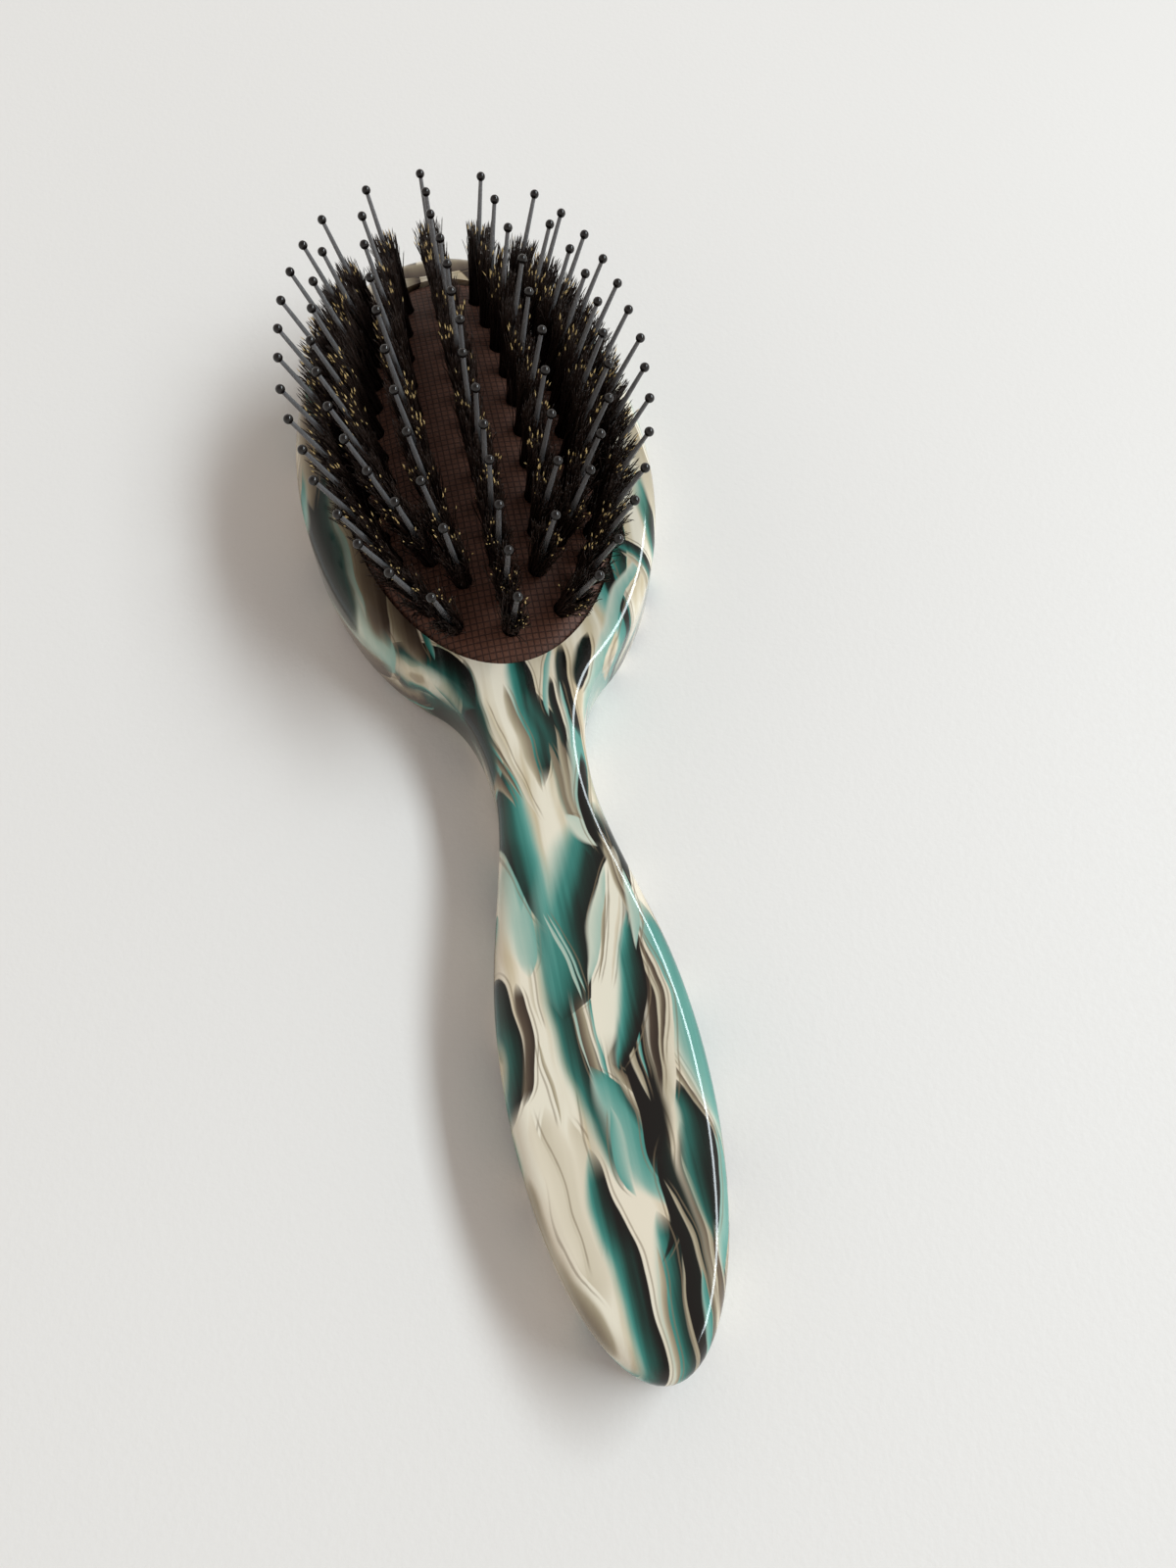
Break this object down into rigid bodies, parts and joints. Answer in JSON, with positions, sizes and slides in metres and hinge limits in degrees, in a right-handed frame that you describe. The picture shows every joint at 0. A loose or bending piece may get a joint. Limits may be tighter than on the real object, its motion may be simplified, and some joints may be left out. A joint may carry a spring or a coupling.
{
  "type": "oval cushion hairbrush",
  "caption": "Oval cushion hairbrush with a marbled acetate head and handle, a domed rubber cushion, and boar bristle tufts round ball-tipped nylon pins.",
  "frame": {"origin": "under the middle of the brush, on the flat back it rests on", "axes": "+Y along the brush from handle to head, +Z the way the bristles point, X across"},
  "size_m": [0.064, 0.205, 0.041],
  "materials": {
    "acetate": "polished marbled cellulose acetate, cream, mint, teal and near-black",
    "rubber": "dark brown, pressed with a fine woven pattern",
    "nylon": "smoky translucent",
    "resin": "glossy black",
    "bristle": "near-black boar bristle with pale split ends"
  },
  "bodies": {
    "handle": {"handle": "acetate"},
    "cushion": {"cushion": "rubber"},
    "row_left_3": {"pins_left_3": "nylon", "ball_tips_left_3": "resin", "tufts_left_3": "bristle"},
    "row_left_2": {"pins_left_2": "nylon", "ball_tips_left_2": "resin", "tufts_left_2": "bristle"},
    "row_left_1": {"pins_left_1": "nylon", "ball_tips_left_1": "resin", "tufts_left_1": "bristle"},
    "row_centre": {"pins_centre": "nylon", "ball_tips_centre": "resin", "tufts_centre": "bristle"},
    "row_right_1": {"pins_right_1": "nylon", "ball_tips_right_1": "resin", "tufts_right_1": "bristle"},
    "row_right_2": {"pins_right_2": "nylon", "ball_tips_right_2": "resin", "tufts_right_2": "bristle"},
    "row_right_3": {"pins_right_3": "nylon", "ball_tips_right_3": "resin", "tufts_right_3": "bristle"}
  },
  "joints": [
    {"name": "cushion_press", "type": "slide", "parent": "handle", "child": "cushion", "axis": [0, 0, -1], "range_m": [0, 0.003], "stiffness_N_per_m": 8000, "deforming": ["cushion"]},
    {"name": "lean_left_3", "type": "hinge", "parent": "cushion", "child": "row_left_3", "pos_m": [-0.017, 0.052, 0.0148], "axis": [0, 1, 0], "range_deg": [-6, 6], "stiffness_Nm_per_rad": 0.28},
    {"name": "lean_left_2", "type": "hinge", "parent": "cushion", "child": "row_left_2", "pos_m": [-0.0148, 0.052, 0.0162], "axis": [0, 1, 0], "range_deg": [-6, 6], "stiffness_Nm_per_rad": 0.18},
    {"name": "lean_left_1", "type": "hinge", "parent": "cushion", "child": "row_left_1", "pos_m": [-0.0082, 0.052, 0.0169], "axis": [0, 1, 0], "range_deg": [-6, 6], "stiffness_Nm_per_rad": 0.2},
    {"name": "lean_centre", "type": "hinge", "parent": "cushion", "child": "row_centre", "pos_m": [0, 0.052, 0.0171], "axis": [0, 1, 0], "range_deg": [-6, 6], "stiffness_Nm_per_rad": 0.28},
    {"name": "lean_right_1", "type": "hinge", "parent": "cushion", "child": "row_right_1", "pos_m": [0.0082, 0.052, 0.0169], "axis": [0, 1, 0], "range_deg": [-6, 6], "stiffness_Nm_per_rad": 0.2},
    {"name": "lean_right_2", "type": "hinge", "parent": "cushion", "child": "row_right_2", "pos_m": [0.0148, 0.052, 0.0162], "axis": [0, 1, 0], "range_deg": [-6, 6], "stiffness_Nm_per_rad": 0.18},
    {"name": "lean_right_3", "type": "hinge", "parent": "cushion", "child": "row_right_3", "pos_m": [0.017, 0.052, 0.0148], "axis": [0, 1, 0], "range_deg": [-6, 6], "stiffness_Nm_per_rad": 0.28}
  ]
}
